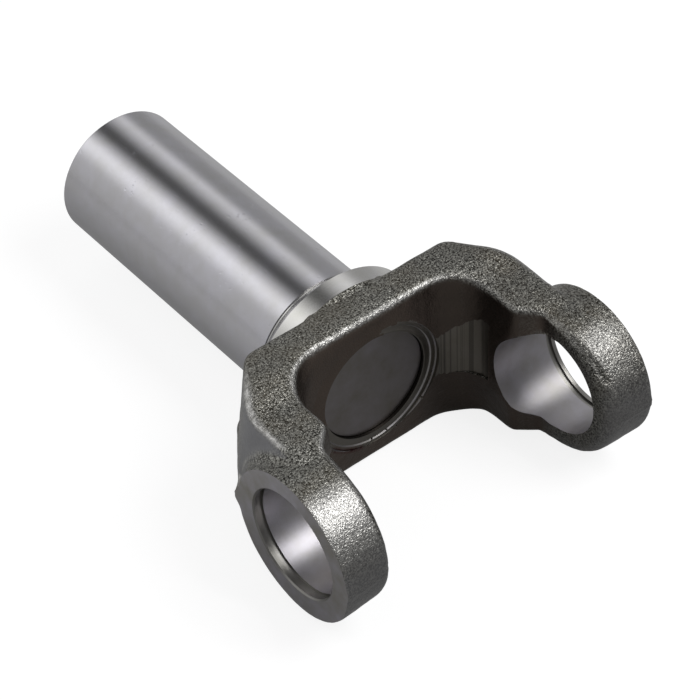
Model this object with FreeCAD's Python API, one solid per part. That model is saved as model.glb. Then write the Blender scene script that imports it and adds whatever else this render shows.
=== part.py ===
import FreeCAD, Part
import math
import os
from FreeCAD import Vector

# Slip yoke of a propeller shaft: one steel forging with a splined barrel, and the
# expansion plug pressed into its fork. Millimetres. The origin is the joint centre,
# where the axis of the two bearing bores (X) crosses the axis of the barrel (Y).
# The barrel points to +Y, the fork opens to -Y, and z is up.

# Joint: bearing bores, snap ring grooves and machined ear faces
bore_radius = 15.08
bore_chamfer = 0.4
lockup_half_width = 46.04
ring_groove_width = 1.6
ring_groove_depth = 0.7
ear_land = 1.36
ear_face_x = lockup_half_width + ring_groove_width + ear_land
ear_edge_break = 0.35

# Internal involute spline, cut from the barrel's end up to a relief behind the plug
spline_teeth = 27
spline_module = 25.4 / 24
spline_pressure_angle = 30.0
spline_root_clearance = 0.35
spline_end_chamfer = 1.2
spline_relief_length = 9.0
spline_relief_clearance = 0.35
spline_pitch_radius = spline_module * spline_teeth / 2
spline_minor_radius = spline_pitch_radius - spline_module / 2
spline_major_radius = spline_pitch_radius + spline_module * (1 + spline_root_clearance) / 2
relief_radius = spline_major_radius + spline_relief_clearance

# Fork, as it leaves the dies: outline at the parting plane, draft both ways from it.
# The machining sits a little above the parting plane.
forging_drop = 0.55
draft_angle = 6.8
base_inner_y = 25.6
base_thickness = 16.2
base_back_y = base_inner_y + base_thickness
back_corner_x = 33.2
back_corner_radius = 7.5
shoulder_run = 16.3
shoulder_y = base_back_y - shoulder_run
shoulder_radius = 17.0
boss_step = 2.8
arm_outer_x = ear_face_x - boss_step
arm_inner_x = 27.0
inner_corner_radius = 9.0
pad_end_y = 8.2
pad_corner_radius = 5.2
ear_thickness = 14.4
ear_inner_x = ear_face_x - ear_thickness
ear_step_y = 2.2
ear_step_radius = 3.0
arm_tip_cover = 1.2
arm_tip_inner_x = ear_inner_x - arm_tip_cover
arm_tip_y = -6.0
arm_tip_radius = 5.6
top_edge_radius = 2.2

# Ears: round about the bore, leaning in along the arm from the face, and the arm's
# fuller side beside them
ear_wall = 6.12
ear_radius = bore_radius + ear_wall
ear_lean = 0.6
ear_rim_radius = 3.0
cheek_step = 2.1
cheek_face_x = ear_face_x - cheek_step
cheek_centre_y = 5.0
cheek_inset = 0.6
cheek_radius = ear_radius - cheek_inset
cheek_rim_radius = 4.5

# Fork seen along X: the tall base, the slope down to the arms, and their fall to the ears
arm_crown_y = 9.0
arm_crown_rise = 0.5
arm_crown_height = ear_radius + arm_crown_rise
arm_fall_angle = 50.0
slope_end_run = 5.1
slope_end_y = base_inner_y - slope_end_run
slope_end_rise = 1.0
slope_end_height = arm_crown_height + slope_end_rise
slope_start_run = 2.4
slope_start_y = base_inner_y + slope_start_run
base_rise = 3.4
base_half_height = arm_crown_height + base_rise
slope_blend_radius = 7.0

# Parting line: the trimmed flash, the gusset it leaves beside each boss, and the
# band that the trimming punch shaved inside the fork
flash_height = 0.4
flash_thickness = 2.0
gusset_rise = 1.4
gusset_reach = ear_radius + gusset_rise
gusset_root_rise = 4.0
gusset_root_reach = ear_radius + gusset_root_rise
gusset_run = 8.6
gusset_start_y = gusset_reach - gusset_run
gusset_half_height = 11.0
punch_allowance = 1.2
punch_end_allowance = 0.6
punch_corner_radius = 10.6

# Plug seat in the fork's base, and the plug
seat_step = 1.15
seat_radius = relief_radius + seat_step
counterbore_depth = 3.4
counterbore_floor_y = base_inner_y + counterbore_depth
counterbore_cone_length = 1.0
counterbore_cone_width = 1.5
counterbore_floor_width = 1.6
counterbore_floor_radius = seat_radius + counterbore_floor_width
counterbore_radius = counterbore_floor_radius + counterbore_cone_width
plug_thickness = 2.4
plug_rim_step = 0.5
plug_rim_depth = 0.9
plug_crown = 0.35
seat_shoulder_y = counterbore_floor_y + plug_thickness
spline_start_y = seat_shoulder_y + spline_relief_length

# Barrel and turned collar
barrel_wall = 3.7
barrel_radius = relief_radius + barrel_wall
barrel_chamfer = 1.3
barrel_undercut = 0.25
barrel_undercut_width = 0.8
collar_height = 6.45
collar_radius = barrel_radius + collar_height
collar_rim_run = 2.8
collar_rim_y = base_back_y + collar_rim_run
collar_flare_length = 5.75
collar_front_y = collar_rim_y + collar_flare_length
collar_lip_height = 1.35
collar_lip_radius = barrel_radius + collar_lip_height
collar_lip_width = 1.3
barrel_length = 90.15
barrel_end_y = collar_front_y + barrel_length

X_AXIS = Vector(1, 0, 0)
Y_AXIS = Vector(0, 1, 0)
Z_AXIS = Vector(0, 0, 1)
ORIGIN = Vector(0, 0, 0)

# How far a cutter runs past what it cuts, and how far a joined piece reaches in
overrun = 1.0
draft_slope = math.tan(math.radians(draft_angle))


def side_line(start, end, shift):
    """Point and direction of a side, moved to its left by shift."""
    along = (end - start).normalize()
    left = Vector(-along.y, along.x, 0)
    return start + left * shift, along


def crossing(first, second):
    """Where two lines in the plane cross, each given as point and direction."""
    (p, d), (q, e) = first, second
    across = d.x * e.y - d.y * e.x
    along = ((q.x - p.x) * e.y - (q.y - p.y) * e.x) / across
    return p + d * along


def rounded_outline(corners, inset=0.0, height=0.0):
    """Closed wire at z = height through rounded corners (x, y, radius), taken
    anticlockwise and moved inwards by inset."""
    count = len(corners)
    points = [Vector(x, y, 0) for x, y, _ in corners]
    sides = [side_line(points[i], points[(i + 1) % count], inset) for i in range(count)]
    arcs = []
    for i, (_, _, radius) in enumerate(corners):
        (_, before), (_, after) = sides[i - 1], sides[i]
        corner = crossing(sides[i - 1], sides[i])
        left_turn = before.x * after.y - before.y * after.x > 0
        radius += -inset if left_turn else inset
        half_turn = math.acos(before.dot(after)) / 2
        reach = radius * math.tan(half_turn)
        sagitta = radius / math.cos(half_turn) - radius
        middle = corner + (after - before).normalize() * sagitta
        arcs.append((corner - before * reach, middle, corner + after * reach))
    lift = Vector(0, 0, height)
    edges = []
    for i, (start, middle, end) in enumerate(arcs):
        following = arcs[(i + 1) % count][0]
        edges.append(Part.Arc(start + lift, middle + lift, end + lift).toShape())
        edges.append(Part.LineSegment(end + lift, following + lift).toShape())
    return Part.Wire(edges)


def mirrored(corners):
    """The right half's corners, then their mirror images across x = 0."""
    return corners + [(-x, y, radius) for x, y, radius in reversed(corners)]


def drafted_prism(corners, half_height, taper):
    """Prism about z = 0 whose sides lean in by taper for each millimetre of height."""
    middle = rounded_outline(corners)
    upper = rounded_outline(corners, half_height * taper, half_height)
    top_half = Part.makeLoft([middle, upper], True, True)
    bottom_half = top_half.mirror(ORIGIN, Z_AXIS)
    return top_half.fuse(bottom_half).removeSplitter()


def flat_prism(corners, half_height):
    """Straight prism about z = 0 through rounded corners."""
    face = Part.Face(rounded_outline(corners, 0.0, -half_height))
    return face.extrude(Z_AXIS * 2 * half_height)


def turned(profile):
    """Solid of revolution about the barrel's axis, from (radius, y) points."""
    points = [Vector(radius, y, 0) for radius, y in profile]
    face = Part.Face(Part.makePolygon(points + points[:1]))
    return face.revolve(ORIGIN, Y_AXIS, 360)


def inner_corners(allowance=0.0, end_allowance=0.0, corner_radius=inner_corner_radius):
    """The fork's inner sides from the ear step inwards, left then right."""
    left = [
        (-(arm_inner_x + allowance), pad_end_y, pad_corner_radius),
        (-(arm_inner_x + allowance), base_inner_y + end_allowance, corner_radius),
    ]
    return mirrored(left)


def fork_corners():
    """Outline of the U-shaped fork at the parting plane, anticlockwise."""
    right = [
        (arm_tip_inner_x, ear_step_y, ear_step_radius),
        (arm_tip_inner_x, arm_tip_y, arm_tip_radius),
        (arm_outer_x, arm_tip_y, arm_tip_radius),
        (arm_outer_x, shoulder_y, shoulder_radius),
        (back_corner_x, base_back_y, back_corner_radius),
    ]
    return mirrored(right) + inner_corners()


def side_profile():
    """The fork seen along X: level base, slope, arms, and the fall over the ears."""
    fall = math.radians(arm_fall_angle)
    crown_corner_y = arm_crown_y - ear_radius * math.tan(fall / 2)
    front_y = crown_corner_y - ear_radius * math.cos(fall)
    front_height = arm_crown_height - ear_radius * math.sin(fall)
    upper = [
        (base_back_y + slope_blend_radius, base_half_height, overrun),
        (slope_start_y, base_half_height, slope_blend_radius),
        (slope_end_y, slope_end_height, slope_blend_radius),
        (crown_corner_y, arm_crown_height, ear_radius),
        (front_y, front_height, overrun),
    ]
    lower = [(y, -z, radius) for y, z, radius in reversed(upper)]
    side = flat_prism(upper + lower, ear_face_x)
    side.rotate(ORIGIN, Vector(1, 1, 1), 120)
    return side


def arms_and_base():
    """The U of the fork with draft, its top and bottom edges rounded."""
    body = drafted_prism(fork_corners(), base_half_height, draft_slope)
    body = body.common(side_profile()).removeSplitter()
    rims = [edge for edge in body.Edges
            if edge.BoundBox.ZMin > bore_radius / 2 or edge.BoundBox.ZMax < -bore_radius / 2]
    return body.makeFillet(top_edge_radius, rims)


def right_ear():
    """Round boss about the bore at +X, leaning in along the arm, its inner rim rounded."""
    circle = Part.makeCircle(ear_radius, Vector(ear_inner_x, ear_lean, 0), X_AXIS)
    boss = Part.Face(Part.Wire(circle)).extrude(Vector(ear_face_x - ear_inner_x, -ear_lean, 0))
    rim = [edge for edge in boss.Edges if edge.BoundBox.XMax < ear_inner_x + 0.01]
    boss = boss.makeFillet(ear_rim_radius, rim)
    face_rim = [edge for edge in boss.Edges if edge.BoundBox.XMin > ear_face_x - 0.01]
    return boss.makeChamfer(ear_edge_break, face_rim)


def right_cheek():
    """Fuller side of the arm beside the boss, a low disc with a well rounded rim."""
    start = Vector(ear_inner_x, cheek_centre_y, 0)
    disc = Part.makeCylinder(cheek_radius, cheek_face_x - ear_inner_x, start, X_AXIS)
    rim = [edge for edge in disc.Edges if edge.BoundBox.XMin > cheek_face_x - 0.01]
    return disc.makeFillet(cheek_rim_radius, rim)


def right_gusset():
    """Wedge at the parting line that runs from the arm's side out to the boss."""
    half_edge = flash_thickness / 2
    sections = []
    for x, reach in ((arm_outer_x - overrun, gusset_root_reach), (ear_face_x, gusset_reach)):
        outline = [Vector(x, gusset_start_y, -gusset_half_height), Vector(x, reach, -half_edge),
                   Vector(x, reach, half_edge), Vector(x, gusset_start_y, gusset_half_height)]
        sections.append(Part.makePolygon(outline + outline[:1]))
    return Part.makeLoft(sections, True, True)


def flash_line():
    """What is left of the flash round the outside, a low flat ridge at z = 0."""
    out = flash_height
    right = [
        (ear_inner_x, ear_step_y, ear_step_radius),
        (ear_inner_x, ear_lean - ear_radius - out, 2 * ear_rim_radius),
        (ear_face_x, -ear_radius - out, ear_edge_break),
        (ear_face_x, gusset_reach, ear_edge_break),
        (arm_outer_x, gusset_root_reach, ear_edge_break),
        (back_corner_x + out, base_back_y + out, back_corner_radius),
    ]
    return flat_prism(mirrored(right) + inner_corners(), flash_thickness / 2)


def punch_window():
    """What the trimming punch takes: the parting line's crest all along the inside."""
    open_end = -2 * ear_radius
    right = [(ear_inner_x, open_end, overrun),
             (ear_inner_x, ear_step_y + punch_allowance, ear_step_radius)]
    inner = inner_corners(punch_allowance, punch_end_allowance, punch_corner_radius)
    return flat_prism(mirrored(right + inner[:1:-1]), base_half_height + overrun)


def barrel_and_collar():
    """The turned barrel, the flared collar and the rough neck behind it."""
    collar_start_y = base_back_y - base_half_height * draft_slope
    lip_y = collar_front_y - collar_lip_width
    undercut_y = collar_front_y + barrel_undercut_width
    outer = [
        (0, collar_start_y),
        (collar_radius, collar_start_y),
        (collar_radius, collar_rim_y),
        (collar_lip_radius, lip_y),
        (barrel_radius, collar_front_y),
        (barrel_radius - barrel_undercut, undercut_y),
        (barrel_radius, undercut_y),
        (barrel_radius, barrel_end_y - barrel_chamfer),
        (barrel_radius - barrel_chamfer, barrel_end_y),
        (0, barrel_end_y),
    ]
    return turned(outer)


def plug_seat():
    """Everything bored along the barrel's axis from inside the fork."""
    profile = [
        (0, 0),
        (counterbore_radius, 0),
        (counterbore_radius, counterbore_floor_y - counterbore_cone_length),
        (counterbore_floor_radius, counterbore_floor_y),
        (seat_radius, counterbore_floor_y),
        (seat_radius, seat_shoulder_y),
        (relief_radius, seat_shoulder_y),
        (relief_radius, spline_start_y),
        (0, spline_start_y),
    ]
    return turned(profile)


def involute_angle(radius):
    """Polar angle that an involute of the spline's base circle has turned at radius."""
    base_radius = spline_pitch_radius * math.cos(math.radians(spline_pressure_angle))
    pressure = math.acos(base_radius / radius)
    return math.tan(pressure) - pressure


def spline_cutter():
    """The hole of the internal spline: minor bore and one tooth space after another."""
    space_half_angle = math.pi / (2 * spline_teeth)
    at_pitch = involute_angle(spline_pitch_radius)
    radii = (spline_minor_radius, spline_pitch_radius, spline_major_radius)
    half_angles = [space_half_angle - (involute_angle(r) - at_pitch) for r in radii]

    def point(radius, angle):
        return Vector(radius * math.cos(angle), 0, radius * math.sin(angle))

    edges = []
    step = 2 * math.pi / spline_teeth
    for tooth in range(spline_teeth):
        centre = tooth * step
        rising = [point(r, centre - a) for r, a in zip(radii, half_angles)]
        falling = [point(r, centre + a) for r, a in zip(radii, half_angles)][::-1]
        next_start = point(radii[0], centre + step - half_angles[0])
        edges.append(Part.Arc(*rising).toShape())
        edges.append(Part.Arc(rising[-1], point(radii[-1], centre), falling[0]).toShape())
        edges.append(Part.Arc(*falling).toShape())
        tip = point(radii[0], centre + step / 2)
        edges.append(Part.Arc(falling[-1], tip, next_start).toShape())
    face = Part.Face(Part.Wire(edges))
    face.translate(Y_AXIS * seat_shoulder_y)
    return face.extrude(Y_AXIS * (barrel_end_y + overrun - seat_shoulder_y))


def barrel_mouth():
    """Chamfer at the open end of the spline."""
    wide = spline_major_radius + spline_end_chamfer
    return turned([
        (0, barrel_end_y - spline_end_chamfer * 2),
        (spline_minor_radius, barrel_end_y - spline_end_chamfer * 2),
        (wide, barrel_end_y),
        (wide, barrel_end_y + overrun),
        (0, barrel_end_y + overrun),
    ])


def bearing_bores():
    """Bores through both ears, with snap ring grooves and chamfers at the faces."""
    half_length = ear_face_x + overrun
    cutter = Part.makeCylinder(bore_radius, 2 * half_length, X_AXIS * -half_length, X_AXIS)
    groove_radius = bore_radius + ring_groove_depth
    wide = bore_radius + bore_chamfer
    for side in (-1, 1):
        outwards = X_AXIS * side
        groove = Part.makeCylinder(groove_radius, ring_groove_width,
                                   outwards * lockup_half_width, outwards)
        chamfer = Part.makeCone(bore_radius, wide, bore_chamfer,
                                outwards * (ear_face_x - bore_chamfer), outwards)
        cutter = cutter.fuse([groove, chamfer])
    return cutter


def yoke_forging():
    ear = right_ear().fuse([right_cheek(), right_gusset()])
    other_ear = ear.mirror(ORIGIN, X_AXIS)
    skin = arms_and_base().fuse([ear, other_ear, flash_line()])
    skin = skin.cut(punch_window())
    skin.translate(Z_AXIS * -forging_drop)
    body = skin.fuse(barrel_and_collar()).removeSplitter()
    body = body.cut(plug_seat())
    body = body.cut(spline_cutter())
    body = body.cut(barrel_mouth())
    return body.cut(bearing_bores())


def expansion_plug():
    """Pressed disc, slightly crowned towards the joint, with a relieved front edge."""
    rim_y = counterbore_floor_y + plug_rim_depth
    face_radius = seat_radius - plug_rim_step
    pole = Vector(0, counterbore_floor_y - plug_crown, 0)
    edge = Vector(face_radius, counterbore_floor_y, 0)
    crown_radius = (face_radius ** 2 + plug_crown ** 2) / (2 * plug_crown)
    middle_x = face_radius / 2
    middle_rise = crown_radius - math.sqrt(crown_radius ** 2 - middle_x ** 2)
    middle = Vector(middle_x, pole.y + middle_rise, 0)
    crown = Part.Arc(pole, middle, edge).toShape()
    outline = [edge, Vector(face_radius, rim_y, 0),
               Vector(seat_radius, rim_y, 0), Vector(seat_radius, seat_shoulder_y, 0),
               Vector(0, seat_shoulder_y, 0), pole]
    face = Part.Face(Part.Wire([crown] + Part.makePolygon(outline).Edges))
    return face.revolve(ORIGIN, Y_AXIS, 360)


def write_parts():
    os.makedirs("parts", exist_ok=True)
    for name, build in (("yoke_forging", yoke_forging), ("expansion_plug", expansion_plug)):
        shape = build()
        box = shape.BoundBox
        print(name, "valid", shape.isValid(), "solids", len(shape.Solids), "faces", len(shape.Faces))
        print("  volume %.0f mm3, box %.2f x %.2f x %.2f mm"
              % (shape.Volume, box.XLength, box.YLength, box.ZLength))
        shape.exportStep("parts/%s.step" % name)


write_parts()
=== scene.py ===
# %% [markdown]
# A forged steel slip yoke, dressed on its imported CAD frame. The yoke has two separate pieces:
# the forging, which was hammered in dies and then turned, bored and splined, and a thin pressed
# plug that closes the spline at the fork's end. The frame gives both in metres, with the origin
# where the two bearing bores meet the barrel's axis, so nothing has to be fitted by eye.

# %% Load the frame
import math
import bmesh
import bpy
from mathutils import Matrix, Vector, noise


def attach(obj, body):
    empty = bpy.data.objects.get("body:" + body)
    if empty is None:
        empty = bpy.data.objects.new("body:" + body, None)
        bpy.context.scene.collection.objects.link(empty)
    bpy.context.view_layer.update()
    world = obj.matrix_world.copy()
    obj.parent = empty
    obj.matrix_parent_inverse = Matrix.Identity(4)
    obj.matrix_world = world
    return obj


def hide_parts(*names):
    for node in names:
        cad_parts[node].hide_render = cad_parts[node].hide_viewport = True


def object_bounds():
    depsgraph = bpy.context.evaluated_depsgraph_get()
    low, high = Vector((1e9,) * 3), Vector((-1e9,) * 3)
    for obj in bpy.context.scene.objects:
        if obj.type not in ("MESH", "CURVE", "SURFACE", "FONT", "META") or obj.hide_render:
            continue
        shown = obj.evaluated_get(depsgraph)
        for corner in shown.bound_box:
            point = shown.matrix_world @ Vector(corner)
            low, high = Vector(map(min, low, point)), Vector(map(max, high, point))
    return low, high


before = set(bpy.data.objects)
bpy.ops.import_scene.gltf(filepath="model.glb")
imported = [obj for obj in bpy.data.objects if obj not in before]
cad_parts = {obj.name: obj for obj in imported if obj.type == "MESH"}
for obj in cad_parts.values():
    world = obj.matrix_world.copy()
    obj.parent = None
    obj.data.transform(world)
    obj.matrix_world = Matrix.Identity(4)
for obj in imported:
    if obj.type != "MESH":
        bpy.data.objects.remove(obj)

cad_box = [list(corner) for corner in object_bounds()]
forging_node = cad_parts["yoke_forging"]
mm = 0.001
print("CAD box", cad_box)

# %% [markdown]
# The photograph was taken with a long lens, looking down on the fork from beyond the left ear.
# Where the camera stood was worked out from points on the bores, the ear faces, the plug's seat
# and the barrel, with the barrel's width and the picture's middle as the lens axis taken as
# given. So it is placed by its own three axes instead of by a target.

# %% Camera
camera_place = Vector((-277.37, -327.28, 453.48)) * mm
camera_right = Vector((0.775569, -0.630356, -0.033832))
camera_up = Vector((0.459753, 0.527315, 0.714539))
camera_back = camera_right.cross(camera_up)
camera_data = bpy.data.cameras.new("camera")
camera_data.sensor_width = 36.0
camera_data.lens = 130.07
camera_data.clip_start = 0.01
camera = bpy.data.objects.new("camera", camera_data)
turn = Matrix((camera_right, camera_up, camera_back)).transposed().to_4x4()
camera.matrix_world = Matrix.Translation(camera_place) @ turn
bpy.context.scene.collection.objects.link(camera)
bpy.context.scene.camera = camera
bpy.context.scene.view_settings.view_transform = "Standard"
print("camera is", round(camera_place.length, 3), "m from the joint's centre")

# %% [markdown]
# A shader is a tree of nodes. One small helper adds a node, sets what is named, fills its inputs
# with numbers or colours, and links the inputs that are given another node's output. Colours are
# written as the hex values that a paint program shows, and turned to linear light once.

# %% Helpers for shaders


def linear(hex_colour):
    """The linear RGBA that Blender mixes with, from an sRGB hex colour."""
    parts = [int(hex_colour[i:i + 2], 16) / 255 for i in (1, 3, 5)]
    return [c / 12.92 if c <= 0.04045 else ((c + 0.055) / 1.055) ** 2.4 for c in parts] + [1.0]


def add(tree, kind, inputs=None, **settings):
    """Adds one node. An input given as another node's output is linked to it."""
    node = tree.nodes.new("ShaderNode" + kind)
    for name, value in settings.items():
        setattr(node, name, value)
    for name, value in (inputs or {}).items():
        if isinstance(value, bpy.types.NodeSocket):
            tree.links.new(value, node.inputs[name])
        else:
            node.inputs[name].default_value = value
    return node


def empty_material(name):
    material = bpy.data.materials.new(name)
    material.use_nodes = True
    material.node_tree.nodes.clear()
    return material


# %% [markdown]
# The photograph's background is plain white. The floor is a pale grey sheet that receives the
# yoke's shadow, and Light Path lifts it to white where the camera looks straight at it. Steel
# mirrors it too, at a lower strength that grows away from the fork, which shades the table.

# %% Floor and world
floor_z = cad_box[0][2]
floor_size = 3.0
floor_mesh = bpy.data.meshes.new("floor")
bm = bmesh.new()
bmesh.ops.create_grid(bm, x_segments=1, y_segments=1, size=floor_size)
bmesh.ops.translate(bm, verts=bm.verts, vec=(0, 0, floor_z))
bm.to_mesh(floor_mesh)
bm.free()
floor = bpy.data.objects.new("floor", floor_mesh)
bpy.context.scene.collection.objects.link(floor)

paper = empty_material("pale_paper_sweep")
tree = paper.node_tree
path = add(tree, "LightPath")
sheet_colour = add(tree, "BsdfDiffuse", {"Color": linear("#909090")})
camera_lift = add(tree, "Emission", {"Color": linear("#ffffff"), "Strength": 0.84})
place = add(tree, "TexCoord")
axes = add(tree, "SeparateXYZ", {"Vector": place.outputs["Object"]})
sideways = add(tree, "Math", {0: axes.outputs["X"]}, operation="ABSOLUTE")
# Painted shadow: the table as the steel mirrors it is painted darker near the fork and along its
# middle.
open_floor = add(tree, "MapRange", {"Value": sideways.outputs[0], "From Min": 0.0,
                                    "From Max": 0.12, "To Min": 0.14, "To Max": 0.38})
past_fork = add(tree, "MapRange", {"Value": axes.outputs["Y"], "From Min": 0.025,
                                   "From Max": 0.07, "To Min": 0.4, "To Max": 1.0})
lift = add(tree, "Math", {0: open_floor.outputs["Result"], 1: past_fork.outputs["Result"]},
           operation="MULTIPLY")
mirror_lift = add(tree, "Emission", {"Color": linear("#ffffff"), "Strength": lift.outputs[0]})
dark = add(tree, "Emission", {"Strength": 0.0})
seen = add(tree, "MixShader", {"Fac": path.outputs["Is Camera Ray"],
                               1: dark.outputs[0], 2: camera_lift.outputs[0]})
mirrored = add(tree, "MixShader", {"Fac": path.outputs["Is Glossy Ray"],
                                   1: seen.outputs[0], 2: mirror_lift.outputs[0]})
both = add(tree, "AddShader", {0: sheet_colour.outputs[0], 1: mirrored.outputs[0]})
add(tree, "OutputMaterial", {"Surface": both.outputs[0]})
floor_mesh.materials.append(paper)

# %% [markdown]
# Bare steel shows the room more than its own colour. The barrel's streaks run along its length,
# so the room behind the yoke has long soft boxes over it, side by side, with a dark gap between
# them. They are drawn in the world by the angle round the barrel's axis, from the right horizon
# at 0 to the left horizon at 1, and they fade to an even grey towards the front.

# %% Room
world = bpy.data.worlds.new("studio")
world.use_nodes = True
tree = world.node_tree
tree.nodes.clear()
direction = add(tree, "TexCoord")
axes = add(tree, "SeparateXYZ", {"Vector": direction.outputs["Generated"]})
angle = add(tree, "Math", {0: axes.outputs["Z"], 1: axes.outputs["X"]}, operation="ARCTAN2")
turned_by = add(tree, "Math", {0: angle.outputs[0], 1: math.pi}, operation="DIVIDE")
room_light = [(0.0, 0.45), (0.19, 0.38), (0.27, 1.15), (0.34, 0.70), (0.43, 0.08), (0.50, 0.06),
              (0.56, 0.62), (0.65, 1.55), (0.72, 1.30), (0.80, 0.74), (1.0, 0.62)]
boxes = add(tree, "ValToRGB", {"Fac": turned_by.outputs[0]})
stops = boxes.color_ramp.elements
brightest = max(level for _, level in room_light)
while len(stops) < len(room_light):
    stops.new(0.5)
for stop, (at, level) in zip(stops, room_light):
    stop.position = at
    stop.color = (level / brightest, level / brightest, level / brightest * 1.01, 1.0)
behind = add(tree, "MapRange", {"Value": axes.outputs["Y"], "From Min": 0.0, "From Max": 0.4})
front = add(tree, "Background", {"Color": linear("#c0c0c2"), "Strength": 0.5})
back = add(tree, "Background", {"Color": boxes.outputs["Color"], "Strength": brightest})
room = add(tree, "MixShader", {"Fac": behind.outputs["Result"], 1: front.outputs[0],
                               2: back.outputs[0]})
plain = add(tree, "Background", {"Color": linear("#ffffff"), "Strength": 1.0})
path = add(tree, "LightPath")
shown = add(tree, "MixShader", {"Fac": path.outputs["Is Camera Ray"], 1: room.outputs[0],
                                2: plain.outputs[0]})
add(tree, "OutputWorld", {"Surface": shown.outputs[0]})
bpy.context.scene.world = world

# %% [markdown]
# The rounded ears and the fork's inner edges mirror one large lamp, high in front on the right.
# It stands in the direction that the bright parts of those rounded surfaces give for it.

# %% Lamps
lamp_distance = 0.8
barrel_line = Vector((0, 1, 0))


def soft_box(name, target, direction, width, length, power):
    """A rectangular lamp that faces a point from a direction, its length along the barrel."""
    data = bpy.data.lights.new(name, "AREA")
    data.shape = "RECTANGLE"
    data.size = width
    data.size_y = length
    data.energy = power
    back = Vector(direction).normalized()
    side = barrel_line.cross(back).normalized()
    up = back.cross(side)
    lamp = bpy.data.objects.new(name, data)
    pose = Matrix((side, up, back)).transposed().to_4x4()
    lamp.matrix_world = Matrix.Translation(Vector(target) * mm + back * lamp_distance) @ pose
    bpy.context.scene.collection.objects.link(lamp)
    print(name, width, "by", length, "m,", power, "W")


left_ear_top = (-42, -12, 18)
high_front_right = (0.41, -0.42, 0.80)
soft_box("front_box", left_ear_top, high_front_right, width=0.40, length=0.46, power=3.2)

# %% [markdown]
# The fork was forged: its skin has no sharp edge, while everything that was machined later is
# crisp. The CAD mesh has crisp edges everywhere, so the skin is made from a copy with all the
# machined holes closed, and the holes are cut again afterwards, as they were on the real one.

# %% Copy the forging and close its machined holes
bore_radius = 15.08
ear_face_x = 49.0
forging_drop = 0.55
seat_reach = 19.62
seat_reach_y = 45
spline_reach = 16.5
bore_reach = 15.85
inner_bore_x = 20


def from_y_axis(vertex):
    return math.hypot(vertex.co.x, vertex.co.z) / mm


def from_x_axis(vertex):
    return math.hypot(vertex.co.y, vertex.co.z) / mm


skin = bmesh.new()
skin.from_mesh(forging_node.data)
bmesh.ops.remove_doubles(skin, verts=skin.verts, dist=1e-6)
machined = set()
for face in skin.faces:
    corners = face.verts
    in_seat = all(from_y_axis(v) < seat_reach and v.co.y < seat_reach_y * mm for v in corners)
    in_spline = all(from_y_axis(v) < spline_reach for v in corners)
    in_bore = all(from_x_axis(v) < bore_reach and abs(v.co.x) > inner_bore_x * mm
                  for v in corners)
    if in_seat or in_spline or in_bore:
        machined.add(face)
bmesh.ops.delete(skin, geom=list(machined), context="FACES")
rims = [edge for edge in skin.edges if edge.is_boundary]
caps = bmesh.ops.holes_fill(skin, edges=rims, sides=0)["faces"]
print("closed", len(caps), "holes, volume", round(skin.calc_volume() / mm ** 3), "mm3")

# %% [markdown]
# The ear faces are grown outwards first. Rounding then spoils only the extra length, which the
# facing cut takes off, so the face keeps its full width and a crisp edge.

# %% Grow the ear faces
growth = 1.6
for side in (-1, 1):
    face_group = [f for f in skin.faces
                  if all(v.co.x * side > (ear_face_x - 0.01) * mm for v in f.verts)]
    grown = bmesh.ops.extrude_face_region(skin, geom=face_group)["geom"]
    bmesh.ops.delete(skin, geom=face_group, context="FACES_KEEP_BOUNDARY")
    tips = [g for g in grown if isinstance(g, bmesh.types.BMVert)]
    bmesh.ops.translate(skin, verts=tips, vec=(side * growth * mm, 0, 0))
print("skin is closed:", all(edge.is_manifold for edge in skin.edges))

# %% [markdown]
# The CAD mesh has long thin triangles, which can't be smoothed evenly. A voxel remesh builds the
# same closed skin again from small faces of one size, which is given here in millimetres.

# %% Remesh the skin evenly
voxel = 0.6
skin_mesh = bpy.data.meshes.new("skin")
skin.to_mesh(skin_mesh)
skin.free()
blank = bpy.data.objects.new("blank", skin_mesh)
bpy.context.scene.collection.objects.link(blank)
remesh = blank.modifiers.new("even_mesh", "REMESH")
remesh.mode = "VOXEL"
remesh.voxel_size = voxel * mm


def finished_mesh(piece):
    """The piece's mesh with its modifiers applied."""
    seen_by = bpy.context.evaluated_depsgraph_get()
    return bpy.data.meshes.new_from_object(piece.evaluated_get(seen_by))


skin = bmesh.new()
skin.from_mesh(finished_mesh(blank))
print("even skin", len(skin.faces), "faces")

# %% [markdown]
# Hot steel fills a die with soft blends. Smoothing the even mesh rounds every edge and corner a
# little, and it is repeated for the outer edges of the arms and the upper edges inside the fork,
# which have the widest blends.

# %% Soften the skin


def soften(vertices, steps):
    """Moves each vertex half way to the middle of its neighbours, a few times over."""
    for step in range(steps):
        bmesh.ops.smooth_vert(skin, verts=vertices, factor=0.5,
                              use_axis_x=True, use_axis_y=True, use_axis_z=True)


soften(skin.verts, 3)
arm_edges = [v for v in skin.verts if 33 * mm < abs(v.co.x) < 47 * mm
             and 11 * mm < v.co.y < 36 * mm and abs(v.co.z) > 9 * mm]
soften(arm_edges, 9)
inner_edges = [v for v in skin.verts if abs(v.co.x) < 30 * mm and 14 * mm < v.co.y < 33 * mm
               and v.co.z > 12 * mm]
soften(inner_edges, 10)
skin.normal_update()
print("softened", len(arm_edges), "and", len(inner_edges), "edge vertices further")

# %% [markdown]
# The rest of the skin's shape is worked in along each vertex's normal, and only inwards: low
# waves, a crease along the line where the two dies met, and one gouge on the right ear. The ring
# round the plug's seat is kept calm, and its near side stands just behind the lip, so that only
# the lip's own edge shows there.

# %% Roughen the skin


def between(value, low, high):
    """0 below low, 1 above high, and even in between."""
    return min(max((value - low) / (high - low), 0.0), 1.0)


def away_from(place, route):
    """Distance from a point to a run of straight lines, in millimetres."""
    nearest = 1000.0
    for start, end in zip(route, route[1:]):
        along = end - start
        part = between((place - start).dot(along), 0.0, along.length_squared)
        nearest = min(nearest, (place - start - along * part).length)
    return nearest


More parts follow.
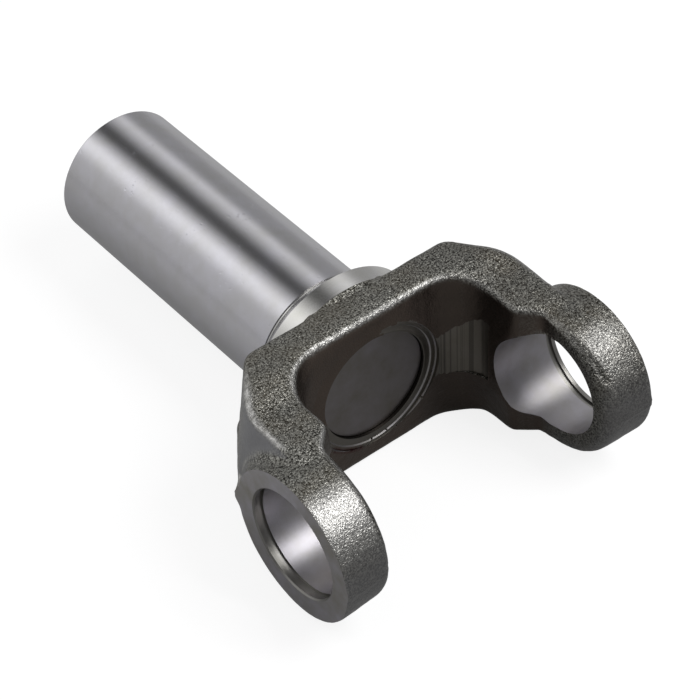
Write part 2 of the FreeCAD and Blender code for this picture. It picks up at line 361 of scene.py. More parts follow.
wave_depth = 0.14
wave_size = 6.0
ripple_size = 2.2
ripple_start = Vector((7, 3, 5))
crease_depth = 0.16
crease_half_width = 0.8
gouge_depth = 0.7
gouge_half_width = 1.5
seat_lip_y = 28.25
seat_wall_behind_lip = 0.2
seat_ring_radius = 28
seat_ring_depth = 0.07
gouge_route = [(34.8, -6.0, 19.7), (35.3, -10.0, 18.1), (35.8, -13.6, 15.7), (36.8, -17.2, 11.8)]
gouge = [Vector(point) for point in gouge_route]
for vertex in skin.verts:
    place = vertex.co / mm
    normal = vertex.normal
    low = noise.noise(place / wave_size)
    fine = noise.noise(place / ripple_size + ripple_start)
    depth = max(wave_depth * (0.6 * low + 0.4 * fine + 0.5), 0.0)
    from_axis = math.hypot(place.x, place.z)
    if normal.y < -0.8 and 20 < place.y < 32 and from_axis < seat_ring_radius:
        calm = between(seat_ring_radius - from_axis, 0.0, 8.0)
        place_angle = math.degrees(math.atan2(place.z, place.x)) % 360
        flush = between(place_angle, 60, 90) * between(215 - place_angle, 0, 25)
        depth += calm * (seat_ring_depth - depth)
        to_wall = seat_lip_y + seat_wall_behind_lip - place.y
        depth += calm * flush * max(to_wall - depth, 0.0)
    off_line = abs(place.z + forging_drop)
    if abs(normal.z) < 0.45 and off_line < crease_half_width and from_x_axis(vertex) > 19:
        if place.y < 5 or abs(place.x) > 36:
            depth += crease_depth * between(crease_half_width - off_line, 0.0, 0.6)
    if place.x > 25 and place.z > 5 and place.y < 15:
        off = away_from(place, gouge)
        depth += gouge_depth * between(gouge_half_width - off, 0.0, 1.3) * (0.7 + 0.6 * fine)
    vertex.co -= normal * depth * mm
skin.to_mesh(skin_mesh)
skin.free()
blank.modifiers.clear()

# %% [markdown]
# Every machined feature is a solid of revolution, so each cutter is a profile of a few points
# turned once round its axis with the spin operator. A profile starts and ends on the axis, and
# the doubles there are merged, which closes the poles.

# %% A turning helper
turning_steps = 192


def turned_mesh(name, profile, axis, steps=turning_steps):
    """Closed mesh from (distance along the axis, radius) points in millimetres."""
    lathe = bmesh.new()
    axis = Vector(axis)
    out = Vector((0, 0, 1))
    points = [lathe.verts.new((axis * along + out * radius) * mm) for along, radius in profile]
    edges = [lathe.edges.new(pair) for pair in zip(points, points[1:])]
    bmesh.ops.spin(lathe, geom=points + edges, cent=(0, 0, 0), axis=axis, angle=2 * math.pi,
                   steps=steps, use_merge=True)
    bmesh.ops.remove_doubles(lathe, verts=lathe.verts, dist=1e-7)
    bmesh.ops.recalc_face_normals(lathe, faces=lathe.faces)
    mesh = bpy.data.meshes.new(name)
    lathe.to_mesh(mesh)
    print(name, len(lathe.faces), "faces, closed:", all(e.is_manifold for e in lathe.edges))
    lathe.free()
    piece = bpy.data.objects.new(name, mesh)
    bpy.context.scene.collection.objects.link(piece)
    return piece


# %% [markdown]
# Two cutters machine the fork. The first runs through both ears and makes the bores, the grooves
# for the snap rings, the rims' chamfers and the flat ear faces. The second works along the barrel
# and makes the counterbore with its small steps and lip, the plug's seat, and the room for the
# barrel. Points are (distance along the axis, radius).

# %% Cutters for the fork
ring_inner_x = 46.04
ring_width = 1.6
ring_depth = 0.7
ring_outer_x = ring_inner_x + ring_width
groove_radius = bore_radius + ring_depth
rim_chamfer = 0.4
facing_radius = 30.0
facing_end_x = 60.0
half_bore = [
    (ring_inner_x, bore_radius),
    (ring_inner_x, groove_radius),
    (ring_outer_x, groove_radius),
    (ring_outer_x, bore_radius),
    (ear_face_x - rim_chamfer, bore_radius),
    (ear_face_x, bore_radius + rim_chamfer),
    (ear_face_x, facing_radius),
    (facing_end_x, facing_radius),
    (facing_end_x, 0),
]
other_half = [(-along, radius) for along, radius in reversed(half_bore)]
bore_tool = turned_mesh("bore_tool", other_half + half_bore, (1, 0, 0))

counterbore_radius = 19.6
seat_radius = 16.5
seat_hole_radius = 16.1
seat_step_y = 29.9
seat_steps = [
    (27.3, counterbore_radius),
    (27.65, 19.35),
    (27.95, 19.3),
    (27.95, 18.35),
    (28.25, 18.05),
    (28.3, 17.0),
    (28.18, 16.6),
    (seat_lip_y, seat_hole_radius),
    (seat_step_y, seat_hole_radius),
    (seat_step_y, seat_radius),
]
seat_shoulder_y = 31.4
relief_radius = 15.35
spline_start_y = 40.4
collar_start_y = 39.0
collar_hole_radius = 25.49
cutter_start_y = 5
cutter_end_y = 150
seat_tool = turned_mesh("seat_tool", [
    (cutter_start_y, 0),
    (cutter_start_y, counterbore_radius),
] + seat_steps + [
    (seat_shoulder_y, seat_radius),
    (seat_shoulder_y, relief_radius),
    (collar_start_y, relief_radius),
    (collar_start_y, collar_hole_radius),
    (cutter_end_y, collar_hole_radius),
    (cutter_end_y, 0),
], (0, 1, 0))

# %% [markdown]
# Before machining, a punch sheared the crest of the parting line off the fork's inner wall. Its
# outline is four points, two of them rounded by a vertex bevel, pulled up into a prism. Small
# shifts of the outline's points leave the upright lines that a worn punch leaves in sheared steel.

# %% Punch for the inner wall
punch_half_width = 28.45
punch_reach_y = 26.5
punch_corner = 10.6
punch_low_z = -8.0
punch_high_z = 12.6
punch_open_y = 17.0
punch = bmesh.new()
outline = [(-punch_half_width, punch_open_y), (punch_half_width, punch_open_y),
           (punch_half_width, punch_reach_y), (-punch_half_width, punch_reach_y)]
ring = [punch.verts.new((x * mm, y * mm, punch_low_z * mm)) for x, y in outline]
punch.faces.new(ring)
bmesh.ops.bevel(punch, geom=ring[2:], offset=punch_corner * mm, segments=40, profile=0.5,
                affect="VERTICES", material=-1)
shear_line_depth = 0.18
shear_line_scale = 0.9
for vertex in punch.verts:
    if vertex.co.y > (punch_reach_y - punch_corner) * mm:
        off_square = Vector((math.copysign(1, vertex.co.x), 1, 0)).normalized()
        line = abs(noise.noise(vertex.co / mm * shear_line_scale))
        vertex.co -= off_square * shear_line_depth * line * mm
pulled = bmesh.ops.extrude_face_region(punch, geom=punch.faces[:], use_keep_orig=True)["geom"]
tops = [g for g in pulled if isinstance(g, bmesh.types.BMVert)]
bmesh.ops.translate(punch, verts=tops, vec=(0, 0, (punch_high_z - punch_low_z) * mm))
bmesh.ops.recalc_face_normals(punch, faces=punch.faces)
print("punch closed:", all(edge.is_manifold for edge in punch.edges))
punch_mesh = bpy.data.meshes.new("punch_tool")
punch.to_mesh(punch_mesh)
punch.free()
punch_tool = bpy.data.objects.new("punch_tool", punch_mesh)
bpy.context.scene.collection.objects.link(punch_tool)

# %% [markdown]
# Each cutter is taken out of the skin with a Boolean modifier that is applied at once. The
# manifold solver is used, because both meshes are closed and it stays exact and fast on them.

# %% Cut the machined features


def cut(piece, tool):
    """Takes the tool's volume out of the piece for good, and removes the tool."""
    boolean = piece.modifiers.new("cut", "BOOLEAN")
    boolean.operation = "DIFFERENCE"
    boolean.solver = "MANIFOLD"
    boolean.object = tool
    result = finished_mesh(piece)
    piece.modifiers.clear()
    piece.data = result
    bpy.data.objects.remove(tool)


cut(blank, punch_tool)
cut(blank, bore_tool)
cut(blank, seat_tool)
print("fork after machining", len(blank.data.polygons), "faces")

# %% [markdown]
# After the plug was pressed in, the rim of its seat was hit with a narrow chisel at a few places,
# which keeps the plug from walking out. The marks lie in two rows, an outer and an inner one.
# Each is cut by a small tapered pin, given as (radius, y, angle in degrees).

# %% Stake marks on the seat's rim
stake_wide_end = 0.55
stake_thin_end = 0.15
stake_length = 1.2
outer_rim_stakes = [(19.45, 27.5, stake_angle) for stake_angle in (260.5, 273.6, 288.5, 317.9)]
inner_rim_stakes = [(18.1, 28.1, stake_angle) for stake_angle in (264.1, 279.6)]
for stake_radius, stake_y, stake_angle in outer_rim_stakes + inner_rim_stakes:
    stake = bmesh.new()
    bmesh.ops.create_cone(stake, cap_ends=True, cap_tris=False, segments=5,
                          radius1=stake_wide_end * mm, radius2=stake_thin_end * mm,
                          depth=stake_length * mm)
    bmesh.ops.rotate(stake, verts=stake.verts, cent=(0, 0, 0),
                     matrix=Matrix.Rotation(math.radians(-90), 3, "X"))
    bmesh.ops.translate(stake, verts=stake.verts, vec=(
        stake_radius * math.cos(math.radians(stake_angle)) * mm, stake_y * mm,
        stake_radius * math.sin(math.radians(stake_angle)) * mm))
    stake_mesh = bpy.data.meshes.new("stake_tool")
    stake.to_mesh(stake_mesh)
    stake.free()
    stake_tool = bpy.data.objects.new("stake_tool", stake_mesh)
    bpy.context.scene.collection.objects.link(stake_tool)
    cut(blank, stake_tool)
print("cut", len(outer_rim_stakes + inner_rim_stakes), "stake marks")

# %% [markdown]
# A thin bright line runs round each ear face, where the sharp edge left by facing is broken. A
# one step bevel of the edges between face and skin gives the same line.

# %% Break the sharp edge round each ear face
broken_edge = 0.16
fork = bmesh.new()
fork.from_mesh(blank.data)
bmesh.ops.remove_doubles(fork, verts=fork.verts, dist=2e-5)
fork.normal_update()


def is_ear_face(face):
    return abs(face.normal.x) > 0.999 and abs(face.calc_center_median().x) > (ear_face_x - 0.01) * mm


outline = [edge for edge in fork.edges if len(edge.link_faces) == 2
           and is_ear_face(edge.link_faces[0]) != is_ear_face(edge.link_faces[1])
           and from_x_axis(edge.verts[0]) > 17]
bmesh.ops.bevel(fork, geom=outline, offset=broken_edge * mm, segments=1, profile=0.5,
                affect="EDGES", material=-1, clamp_overlap=True)
print("broken edges", len(outline), "closed:", all(edge.is_manifold for edge in fork.edges))
fork.to_mesh(blank.data)
fork.free()

# %% [markdown]
# The whole fork is shaded smooth, and only edges sharper than the angle below stay crisp. So the
# skin flows while the machined rims keep their line.

# %% Name the fork and set its sharp edges
fork_crisp_angle = 32
fork_piece = blank
fork_piece.name = "forged_fork"
fork_mesh = fork_piece.data
for polygon in fork_mesh.polygons:
    polygon.use_smooth = True
fork_mesh.set_sharp_from_angle(angle=math.radians(fork_crisp_angle))
print("forged_fork", len(fork_mesh.polygons), "faces")

# %% [markdown]
# The skin isn't the same all over. The outer sides of the arms are smoother and the inner walls keep
# a brown scale. Edges and the ear rounds are painted lighter, partly as rubbed wear and partly as a
# painted highlight where they face the lamp. Painted shade darkens the right inner walls, the upward
# slopes on the right and the gouge, and sealant was smeared beside the plug. Each of these is a
# number on every vertex, about 0 for none and 1 for full, worked out from where the vertex is and
# which way it faces. The materials read it as an attribute.

# %% Mark where the skin differs
for mark in ("smooth_skin", "inner_scale", "rubbed_and_highlight", "sealant", "painted_shade"):
    fork_mesh.attributes.new(mark, "FLOAT", "POINT")
smooth_mark = fork_mesh.attributes["smooth_skin"]
inner_mark = fork_mesh.attributes["inner_scale"]
rubbed_and_highlight_mark = fork_mesh.attributes["rubbed_and_highlight"]
sealant_mark = fork_mesh.attributes["sealant"]
painted_shade_mark = fork_mesh.attributes["painted_shade"]
# The right side gets less of the lighter edges and ear rounds, which are partly rubbed wear and
# partly painted highlight.
right_wear_and_highlight = 0.58
rim_patch_scale = 0.9
for vertex in fork_mesh.vertices:
    x, y, z = vertex.co / mm
    normal = vertex.normal
    outwards = normal.x * math.copysign(1, x)
    wear_and_highlight = 1.0 if x < 24 else right_wear_and_highlight
    side = between(outwards, 0.72, 0.95) * between(abs(x), 30, 34)
    round_angle = math.degrees(math.atan2(z + forging_drop, y)) % 360
    on_ear = between(abs(x), 33, 36) * between(math.hypot(y, z), 17, 19)
    tip = between(round_angle, 145, 170) * between(300 - round_angle, 0, 20) * on_ear
    smooth_mark.data[vertex.index].value = max(side, 0.6 * tip)
    arm_wall = between(-outwards, 0.35, 0.75) * between(y, -2, 4)
    base_wall = between(-normal.y, 0.35, 0.75) * between(y, 18, 22) * between(31 - abs(x), 0, 2)
    inner_mark.data[vertex.index].value = max(arm_wall, base_wall) * between(0.5 - normal.z, 0, 0.3)
    # Painted highlight: the ear rounds that face up and forward, towards the lamp, are painted
    # lighter.
    ear_round = between(round_angle, 101, 116) * between(172 - round_angle, 0, 48) * on_ear
    ear_round *= between(0.5 - abs(outwards), 0, 0.3) * wear_and_highlight * (1.0 - 0.5 * between(x, 42, 47))
    # The upper rims inside and outside the arms are painted lighter, partly as rubbed wear and
    # partly as a painted highlight.
    inwards = max(-normal.y * between(33 - abs(x), 0, 2), -outwards * between(abs(x), 22, 26))
    inner_rim = between(normal.z, 0.2, 0.5) * between(0.94 - normal.z, 0, 0.1)
    inner_rim *= between(inwards, 0.12, 0.35) * between(z, 14, 17) * between(34 - y, 0, 1)
    inner_rim *= 1.0 - 0.7 * between(x, 20, 26)
    outer_rim = between(outwards, 0.15, 0.4) * between(0.92 - outwards, 0, 0.15)
    outer_rim *= between(normal.z, 0.1, 0.3) * between(abs(x), 33, 37) * between(36 - y, 0, 3)
    outer_rim *= between(math.hypot(y, z), 22.6, 24.0) * between(y, 6, 10)
    patch = noise.noise(vertex.co / mm * rim_patch_scale)
    broken = 0.45 + 0.55 * between(patch, -0.3, 0.25)
    rims = max(inner_rim, outer_rim) * broken
    rubbed_and_highlight_mark.data[vertex.index].value = max(ear_round, rims, 0.2 * tip)
    # Painted shade: the upward slopes on the right, the right inner walls and the gouge are painted
    # darker.
    darker = 0.2 * between(x, 0, 34) * between(normal.z, 0.3, 0.6)
    darker *= between(112 - round_angle, 0, 14)
    inner_dark = between(x, 8, 22) * between(-normal.x - normal.y, 0.2, 0.6)
    inner_dark *= between(0.6 - normal.z, 0, 0.3) * (0.5 + 0.5 * between(y, 4, 14))
    in_gouge = 0.0
    if x > 25 and z > 5 and y < 15:
        in_gouge = 0.6 * between(2.0 - away_from(vertex.co / mm, gouge), 0, 1.4)
    painted_shade_mark.data[vertex.index].value = max(darker, 0.5 * inner_dark, in_gouge)
    seat_angle = math.degrees(math.atan2(z, x)) % 360
    smear = between(seat_angle, 218, 226) * between(258 - seat_angle, 0, 5)
    from_axis = math.hypot(x, z)
    smear *= between(from_axis, 18.3, 18.7) * between(20.3 - from_axis, 0, 0.4) * between(y, 24, 26)
    sealant_mark.data[vertex.index].value = smear * (0.75 + 0.5 * noise.noise(vertex.co / mm))
print("marked", len(fork_mesh.vertices), "vertices")

# %% [markdown]
# The forged skin is shot blasted steel: shot leaves a dull grain of small dents, whose rims catch
# the lamps as sparks. A pixel of the render is about a quarter of a millimetre of the yoke, so
# the grain is drawn about half a millimetre wide, which is as fine as it can be and still show.

# %% Material: shot blasted forging steel
sealant_red = "#4a1512"
grain_size = 0.48
fold_size = 1.0
dent_size = 2.6
patch_size = 11.0


def object_millimetres(tree):
    """Object coordinates scaled so that one unit is one millimetre."""
    place = add(tree, "TexCoord")
    return add(tree, "Mapping", {"Vector": place.outputs["Object"], "Scale": (1000, 1000, 1000)})


forging_steel = empty_material("shot_blasted_forging_steel")
tree = forging_steel.node_tree
place = object_millimetres(tree)
smooth_skin = add(tree, "Attribute", attribute_name="smooth_skin")
inner_scale = add(tree, "Attribute", attribute_name="inner_scale")
rubbed_and_highlight = add(tree, "Attribute", attribute_name="rubbed_and_highlight")
grain = add(tree, "TexNoise", {"Vector": place.outputs[0], "Scale": 1 / grain_size,
                               "Detail": 1.0, "Roughness": 0.6, "Distortion": 0.2})
folds = add(tree, "TexNoise", {"Vector": place.outputs[0], "Scale": 1 / fold_size,
                               "Detail": 1.0, "Roughness": 0.5, "Distortion": 0.5})
dents = add(tree, "TexNoise", {"Vector": place.outputs[0], "Scale": 1 / dent_size,
                               "Detail": 2.0, "Roughness": 0.5})
patches = add(tree, "TexNoise", {"Vector": place.outputs[0], "Scale": 1 / patch_size,
                                 "Detail": 3.0})
from_fold = add(tree, "Math", {0: folds.outputs["Fac"], 1: 0.5}, operation="SUBTRACT")
fold_depth = add(tree, "Math", {0: from_fold.outputs[0]}, operation="ABSOLUTE")
folded = add(tree, "MapRange", {"Value": fold_depth.outputs[0], "From Min": 0.0, "From Max": 0.07,
                                "To Min": -0.15, "To Max": 0.0})
relief = add(tree, "Math", {0: grain.outputs["Fac"], 1: folded.outputs["Result"]},
             operation="ADD")
# The grain's colour follows its relief: pits and fold creases are painted dark and crests light, a
# painted shade of the dents over the steel's own grain tone.
shade = add(tree, "ValToRGB", {"Fac": relief.outputs[0]})
shade.color_ramp.elements[0].position = 0.3
shade.color_ramp.elements[0].color = linear("#2b2a26")
shade.color_ramp.elements[1].position = 0.65
shade.color_ramp.elements[1].color = linear("#a9a8a1")
browner = add(tree, "MapRange", {"Value": patches.outputs["Fac"], "From Min": 0.42,
                                 "From Max": 0.66, "To Min": 0.0, "To Max": 0.3})
aged = add(tree, "Mix", {"Factor": browner.outputs["Result"], "A": shade.outputs["Color"],
                         "B": linear("#6b6353")}, data_type="RGBA")
# The lighter colour of the edges and ear rounds: partly rubbed steel, partly a painted highlight.
shine = add(tree, "Mix", {"Factor": relief.outputs[0], "A": linear("#979693"),
                          "B": linear("#d4d3d0")}, data_type="RGBA")
brighter = add(tree, "Mix", {"Factor": rubbed_and_highlight.outputs["Fac"], "A": aged.outputs["Result"],
                             "B": shine.outputs["Result"]}, data_type="RGBA")
smoother = add(tree, "Mix", {"Factor": smooth_skin.outputs["Fac"], "A": brighter.outputs["Result"],
                             "B": linear("#828284")}, data_type="RGBA")
scale_colour = add(tree, "Mix", {"Factor": patches.outputs["Fac"], "A": linear("#5b534d"),
                                 "B": linear("#72655b")}, data_type="RGBA")
coated = add(tree, "Mix", {"Factor": inner_scale.outputs["Fac"], "A": smoother.outputs["Result"],
                           "B": scale_colour.outputs["Result"]}, data_type="RGBA")
# The painted shade mark darkens the skin's colour here.
painted_shade = add(tree, "Attribute", attribute_name="painted_shade")
shade_darkened = add(tree, "Mix", {"Factor": painted_shade.outputs["Fac"], "A": coated.outputs["Result"],
                          "B": linear("#35322f")}, data_type="RGBA")
sealant = add(tree, "Attribute", attribute_name="sealant")
smeared = add(tree, "Mix", {"Factor": sealant.outputs["Fac"], "A": shade_darkened.outputs["Result"],
                            "B": linear(sealant_red)}, data_type="RGBA")
low_bump = add(tree, "Bump", {"Height": dents.outputs["Fac"], "Distance": 0.3 * mm,
                              "Strength": 0.5})
depth = add(tree, "MapRange", {"Value": smooth_skin.outputs["Fac"], "To Min": 1.0,
                               "To Max": 0.15})
calm = add(tree, "MapRange", {"Value": inner_scale.outputs["Fac"], "To Min": 1.0, "To Max": 0.3})
worn = add(tree, "MapRange", {"Value": rubbed_and_highlight.outputs["Fac"], "To Min": 1.0, "To Max": 0.55})
forged = add(tree, "Math", {0: depth.outputs["Result"], 1: calm.outputs["Result"]},
             operation="MULTIPLY")
strength = add(tree, "Math", {0: forged.outputs[0], 1: worn.outputs["Result"]},
               operation="MULTIPLY")
grain_bump = add(tree, "Bump", {"Height": relief.outputs[0], "Distance": 0.32 * mm,
                                "Strength": strength.outputs[0], "Normal": low_bump.outputs[0]})
skin_shader = add(tree, "BsdfPrincipled", {"Base Color": smeared.outputs["Result"],
                                           "Metallic": 1.0, "Roughness": 0.34,
                                           "Normal": grain_bump.outputs[0]})
add(tree, "OutputMaterial", {"Surface": skin_shader.outputs[0]})

# %% [markdown]
# Bores, ear faces and the counterbore were cut with a tool on a spindle, so they are bright
# steel with fine rings round their own axis. Handling leaves soft stains on it. The same function
# gives the ground barrel, the sheared wall and the pressed plug, each with its own values.

# %% Material: bright machined steel
stain_size = 9.0
nick_size = 1.3


def machined_steel(name, colour, roughness, ring_pitch, axis, bump, nicks=0.0, smear=None,
                   streaks=0.0, clouds=1.0):
    """Bright steel with fine tool rings round the axis, drawn as wide as they need to show."""
    material = empty_material(name)
    tree = material.node_tree
    place = object_millimetres(tree)
    parts = add(tree, "SeparateXYZ", {"Vector": place.outputs[0]})
    rings = add(tree, "TexNoise", {"W": parts.outputs[axis], "Scale": 1 / ring_pitch,
                                   "Detail": 3.0}, noise_dimensions="1D")
    stains = add(tree, "TexNoise", {"Vector": place.outputs[0], "Scale": 1 / stain_size,
                                    "Detail": 5.0, "Roughness": 0.65})
    tint = add(tree, "ValToRGB", {"Fac": stains.outputs["Fac"]})
    plain = linear(colour)
    tint.color_ramp.elements[0].position = 0.3
    tint.color_ramp.elements[0].color = [part * (1.0 - fall * clouds)
                                         for part, fall in zip(plain, (0.07, 0.08, 0.1, 0.0))]
    tint.color_ramp.elements[1].position = 0.7
    tint.color_ramp.elements[1].color = [part * (1.0 + rise * clouds)
                                         for part, rise in zip(plain, (0.04, 0.03, 0.07, 0.0))]
    shown = tint.outputs["Color"]
    if streaks:
        lines = add(tree, "MapRange", {"Value": rings.outputs["Fac"], "From Min": 0.38,
                                       "From Max": 0.5, "To Min": 0.2, "To Max": 1.0})
        shown = add(tree, "Mix", {"Factor": streaks, "A": shown, "B": lines.outputs["Result"]},
                    data_type="RGBA", blend_type="MULTIPLY").outputs["Result"]
    if smear:
        mark = add(tree, "Attribute", attribute_name=smear)
        shown = add(tree, "Mix", {"Factor": mark.outputs["Fac"], "A": shown,
                                  "B": linear(sealant_red)}, data_type="RGBA").outputs["Result"]
    bumps = add(tree, "Bump", {"Height": rings.outputs["Fac"], "Distance": bump * mm,
                               "Strength": 1.0})
    if nicks:
        spots = add(tree, "TexNoise", {"Vector": place.outputs[0], "Scale": 1 / nick_size,
                                       "Detail": 1.0})
        crowds = add(tree, "MapRange", {"Value": stains.outputs["Fac"], "From Min": 0.45,
                                        "From Max": 0.6})
        rare = add(tree, "MapRange", {"Value": spots.outputs["Fac"], "From Min": 0.7,
                                      "From Max": 0.78})
        both = add(tree, "Math", {0: crowds.outputs["Result"], 1: rare.outputs["Result"]},
                   operation="MULTIPLY")
        bumps = add(tree, "Bump", {"Height": both.outputs[0], "Distance": nicks * mm,
                                   "Strength": 1.0, "Normal": bumps.outputs[0]}, invert=True)
    shader = add(tree, "BsdfPrincipled", {"Base Color": shown, "Metallic": 1.0,
                                          "Roughness": roughness, "Normal": bumps.outputs[0]})
    add(tree, "OutputMaterial", {"Surface": shader.outputs[0]})
    return material


bore_steel = machined_steel("honed_bore_steel", "#a6a5a6", 0.42, 0.3, "X", 0.012, clouds=2.0)
face_steel = machined_steel("faced_ear_steel", "#aaaaa7", 0.40, 0.5, "X", 0.002, clouds=3.5)
seat_steel = machined_steel("turned_seat_steel", "#7d7a73", 0.30, 0.4, "Y", 0.01, smear="sealant")
punched_steel = machined_steel("sheared_steel", "#76726a", 0.36, 0.8, "X", 0.02, streaks=0.5)
ground_steel = machined_steel("ground_barrel_steel", "#bcbcbe", 0.23, 0.5, "Y", 0.0015, nicks=0.05)
plug_steel = machined_steel("pressed_plug_steel", "#8c8986", 0.33, 1.5, "X", 0.002, clouds=2.5)
land_steel = machined_steel("ring_land_steel", "#8b8a85", 0.34, 0.3, "X", 0.02)
gap_steel = machined_steel("shaded_gap_steel", "#3a3733", 0.45, 0.4, "Y", 0.002)
neck_steel = machined_steel("turned_neck_steel", "#c9c9c5", 0.24, 0.4, "Y", 0.02)

# %% [markdown]
# After the cuts, a face's finish follows from where it lies and which way it faces, since every
# cutter's radius and reach is known. So no face is picked by hand.

# %% Give each face its finish


def on_punch(point):
    """Whether a point lies on the wall that the punch sheared."""
    across = abs(point.x) - (punch_half_width - punch_corner)
    along = point.y - (punch_reach_y - punch_corner)
    if not punch_low_z < point.z < punch_high_z or point.y < punch_open_y:
        return False
    if across > 0 and along > 0:
        return abs(math.hypot(across, along) - punch_corner) < 0.5
    return abs(max(across, along) - punch_corner) < 0.15


def on_seat(radius, along):
    """Whether a point of the inner wall was reached by the seat's cutter."""
    if radius > counterbore_radius + 0.02 or along < 22:
        return False
    deepest = 0.0
    for (low_y, low_r), (high_y, high_r) in zip(seat_steps, seat_steps[1:]):
        if high_r <= radius <= low_r:
            deepest = max(low_y, high_y)
    return along < deepest + 0.01


fork_mesh.materials.clear()
for material in (forging_steel, bore_steel, face_steel, seat_steel, punched_steel, land_steel,
                 gap_steel):
    fork_mesh.materials.append(material)
bore_finish, face_finish, seat_finish, punched_finish, land_finish, gap_finish = range(1, 7)
for polygon in fork_mesh.polygons:
    centre = polygon.center / mm
    normal = polygon.normal
    along_x = math.hypot(centre.y, centre.z)
    along_y = math.hypot(centre.x, centre.z)
    on_broken_edge = abs(centre.x) > ear_face_x - broken_edge and abs(normal.x) > 0.4
    on_bore = along_x < bore_radius + 0.03
    on_groove = abs(centre.x) > 45.9 and along_x < groove_radius + 0.02
    if abs(centre.x) > ear_face_x - 0.01 and abs(normal.x) > 0.99 or on_broken_edge:
        polygon.material_index = face_finish
    elif abs(centre.x) > inner_bore_x and (on_bore or on_groove):
        inside_ring = abs(centre.x) < ring_inner_x
        polygon.material_index = bore_finish if inside_ring else land_finish
    elif along_y < seat_hole_radius + 0.03 and 28.2 < centre.y < 35:
        polygon.material_index = gap_finish
    elif on_seat(along_y, centre.y):
        bevelled = -0.9 < normal.y < -0.3
        polygon.material_index = face_finish if bevelled else seat_finish
    elif on_punch(centre) and abs(normal.z) < 0.05:
        polygon.material_index = punched_finish
used = sorted({polygon.material_index for polygon in fork_mesh.polygons})
print("finishes used on the fork", used)

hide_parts("yoke_forging")
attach(fork_piece, "root")

# %% [markdown]
# The barrel and its collar are turned and ground, so their profile is spun like a cutter. On the
# collar's flare the tool's feed leaves low steps that catch the light one by one, and a shallow
# groove runs where the flare meets the barrel, which lets the grinding wheel run out.

# %% Turn the barrel and its collar
barrel_radius = 19.05
barrel_end_y = 140.49
barrel_chamfer = 1.3
collar_radius = collar_hole_radius
collar_rim_y = 44.6
collar_front_y = 50.35
collar_lip_radius = 20.4
collar_lip_y = collar_front_y - 1.3
undercut_length = 0.8
undercut_depth = 0.25
barrel_steps = 256
feed_marks = 9
feed_depth = 0.035
flare = []
for step in range(1, feed_marks):
    part = step / feed_marks
    dip = feed_depth * (step % 2)
    flare.append((collar_rim_y + (collar_lip_y - collar_rim_y) * part - dip,
                  collar_radius + (collar_lip_radius - collar_radius) * part - dip))
barrel_piece = turned_mesh("turned_barrel", [
    (collar_start_y, 0),
    (collar_start_y, collar_radius),
    (collar_rim_y, collar_radius),
] + flare + [
    (collar_lip_y, collar_lip_radius),
    (collar_front_y, barrel_radius),
    (collar_front_y + undercut_length, barrel_radius - undercut_depth),
    (collar_front_y + undercut_length, barrel_radius),
    (barrel_end_y - barrel_chamfer, barrel_radius),
    (barrel_end_y, barrel_radius - barrel_chamfer),
    (barrel_end_y, 0),
], (0, 1, 0), barrel_steps)

# %% [markdown]
# The inside can't be seen in the photograph, so the spline is assumed: 27 teeth of 24 diametral
# pitch, as is common for a barrel of this size. The bore is cut first. One tooth space is then
# drawn as a six sided outline, pulled along the barrel and spun round it 26 times, and all are
# cut at once.

# %% Cut the internal spline
spline_teeth = 27
inch = 25.4
diametral_pitch = 24
pitch_radius = inch / diametral_pitch * spline_teeth / 2
minor_radius = pitch_radius - inch / (2 * diametral_pitch)
major_radius = 15.002
mouth_length = 2.4
mouth_width = 1.2
overshoot = 1
root_overlap = 0.5
bore_cutter = turned_mesh("spline_bore_tool", [
    (collar_start_y - 5, 0),
    (collar_start_y - 5, relief_radius),
    (spline_start_y, relief_radius),
    (spline_start_y, minor_radius),
    (barrel_end_y - mouth_length, minor_radius),
    (barrel_end_y, major_radius + mouth_width),
    (barrel_end_y + overshoot, major_radius + mouth_width),
    (barrel_end_y + overshoot, 0),
], (0, 1, 0))
cut(barrel_piece, bore_cutter)
spaces = bmesh.new()
tooth_angle = 2 * math.pi / spline_teeth
half_space = [(minor_radius - root_overlap, 0.28), (pitch_radius, 0.25), (major_radius, 0.16)]
outline = half_space + [(radius, -part) for radius, part in reversed(half_space)]
ring = [spaces.verts.new((radius * math.cos(part * tooth_angle) * mm, spline_start_y * mm,
                          radius * math.sin(part * tooth_angle) * mm)) for radius, part in outline]
base_face = spaces.faces.new(ring)
pulled = bmesh.ops.extrude_face_region(spaces, geom=[base_face], use_keep_orig=True)["geom"]
tops = [g for g in pulled if isinstance(g, bmesh.types.BMVert)]
space_length = barrel_end_y - spline_start_y + overshoot
bmesh.ops.translate(spaces, verts=tops, vec=(0, space_length * mm, 0))
bmesh.ops.recalc_face_normals(spaces, faces=spaces.faces)
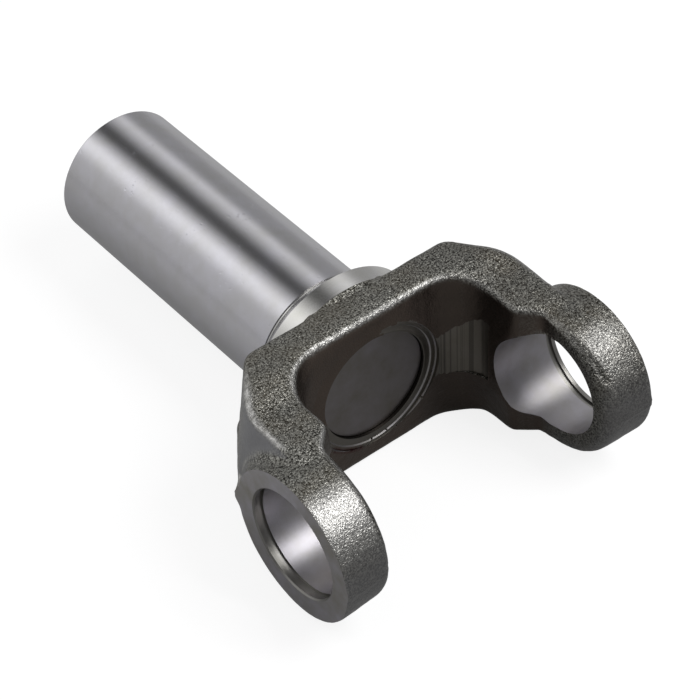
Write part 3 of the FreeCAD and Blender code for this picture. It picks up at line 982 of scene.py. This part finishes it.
bmesh.ops.spin(spaces, geom=spaces.verts[:] + spaces.edges[:] + spaces.faces[:], cent=(0, 0, 0),
               axis=(0, 1, 0), angle=2 * math.pi * (spline_teeth - 1) / spline_teeth,
               steps=spline_teeth - 1, use_duplicate=True)
print("tooth spaces closed:", all(edge.is_manifold for edge in spaces.edges))
space_mesh = bpy.data.meshes.new("spline_tool")
spaces.to_mesh(space_mesh)
spaces.free()
space_tool = bpy.data.objects.new("spline_tool", space_mesh)
bpy.context.scene.collection.objects.link(space_tool)
cut(barrel_piece, space_tool)
barrel_mesh = barrel_piece.data
barrel_mesh.materials.clear()
for material in (ground_steel, neck_steel, seat_steel):
    barrel_mesh.materials.append(material)
neck_finish, spline_finish = range(1, 3)
spline_finish_radius = 16.3
barrel_crisp_angle = 25
for polygon in barrel_mesh.polygons:
    polygon.use_smooth = True
    centre = polygon.center / mm
    if math.hypot(centre.x, centre.z) < spline_finish_radius:
        polygon.material_index = spline_finish
    elif centre.y < collar_front_y + undercut_length:
        polygon.material_index = neck_finish
barrel_mesh.set_sharp_from_angle(angle=math.radians(barrel_crisp_angle))
print("turned_barrel", len(barrel_mesh.polygons), "faces")
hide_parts("yoke_forging")
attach(barrel_piece, "root")

# %% [markdown]
# The plug is a disc of thin sheet, pressed to a shallow dish with a rounded edge. It sits about a
# millimetre behind the seat's lip, so a dark gap shows beside its edge. It is turned from a
# profile as the cutters were.

# %% Plug
plug_face_y = 29.2
plug_flange_y = 29.95
plug_dish = 0.3
plug_edge_radius = 15.98
plug_crisp_angle = 40
plug_piece = turned_mesh("pressed_plug", [
    (plug_face_y + plug_dish, 0),
    (plug_face_y + plug_dish * 0.72, 8.2),
    (plug_face_y + plug_dish * 0.3, 12.8),
    (plug_face_y, 15.85),
    (plug_face_y + 0.12, plug_edge_radius),
    (plug_flange_y, plug_edge_radius),
    (plug_flange_y, seat_radius),
    (seat_shoulder_y, seat_radius),
    (seat_shoulder_y, 0),
], (0, 1, 0))
for polygon in plug_piece.data.polygons:
    polygon.use_smooth = True
plug_piece.data.set_sharp_from_angle(angle=math.radians(plug_crisp_angle))
plug_piece.data.materials.append(plug_steel)
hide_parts("expansion_plug")
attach(plug_piece, "root")
